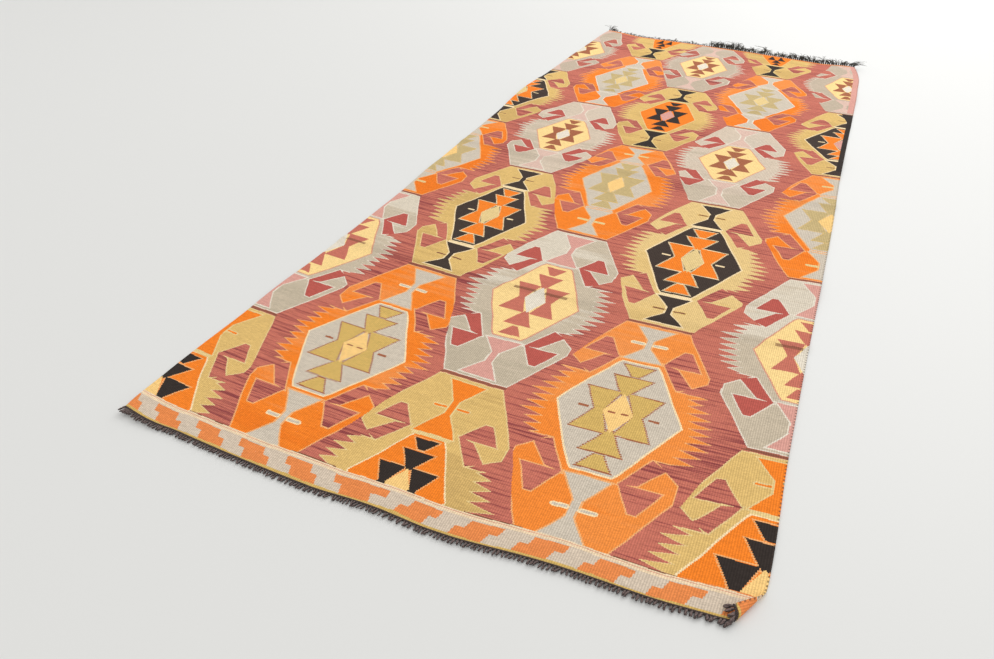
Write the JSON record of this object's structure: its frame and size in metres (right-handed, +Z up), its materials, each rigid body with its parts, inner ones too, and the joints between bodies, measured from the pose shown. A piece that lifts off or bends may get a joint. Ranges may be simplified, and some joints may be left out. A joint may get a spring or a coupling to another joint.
{
  "type": "long flat-woven wool kilim rug",
  "caption": "Long flat-woven wool rug with rows of hooked medallions, a stepped end border, dark end cord and fringes, lying flat with one curled corner.",
  "frame": {"origin": "on the floor under the middle of the rug's outline", "axes": "+Z up, +Y along the rug from its bordered end to its far end, +X to the right, across the rug"},
  "size_m": [1.5198, 3.7807, 0.0326],
  "materials": {
    "woven_wool": "matte weft-faced wool flatweave",
    "end_cord": "matte dark twined wool yarn",
    "short_fringe": "matte dark brown twisted warp ends",
    "long_fringe": "matte black loose warp ends"
  },
  "bodies": {
    "root": {"kilim_cloth": "woven_wool", "near_end_cord": "end_cord", "near_fringe": "short_fringe", "far_fringe": "long_fringe"}
  },
  "joints": []
}
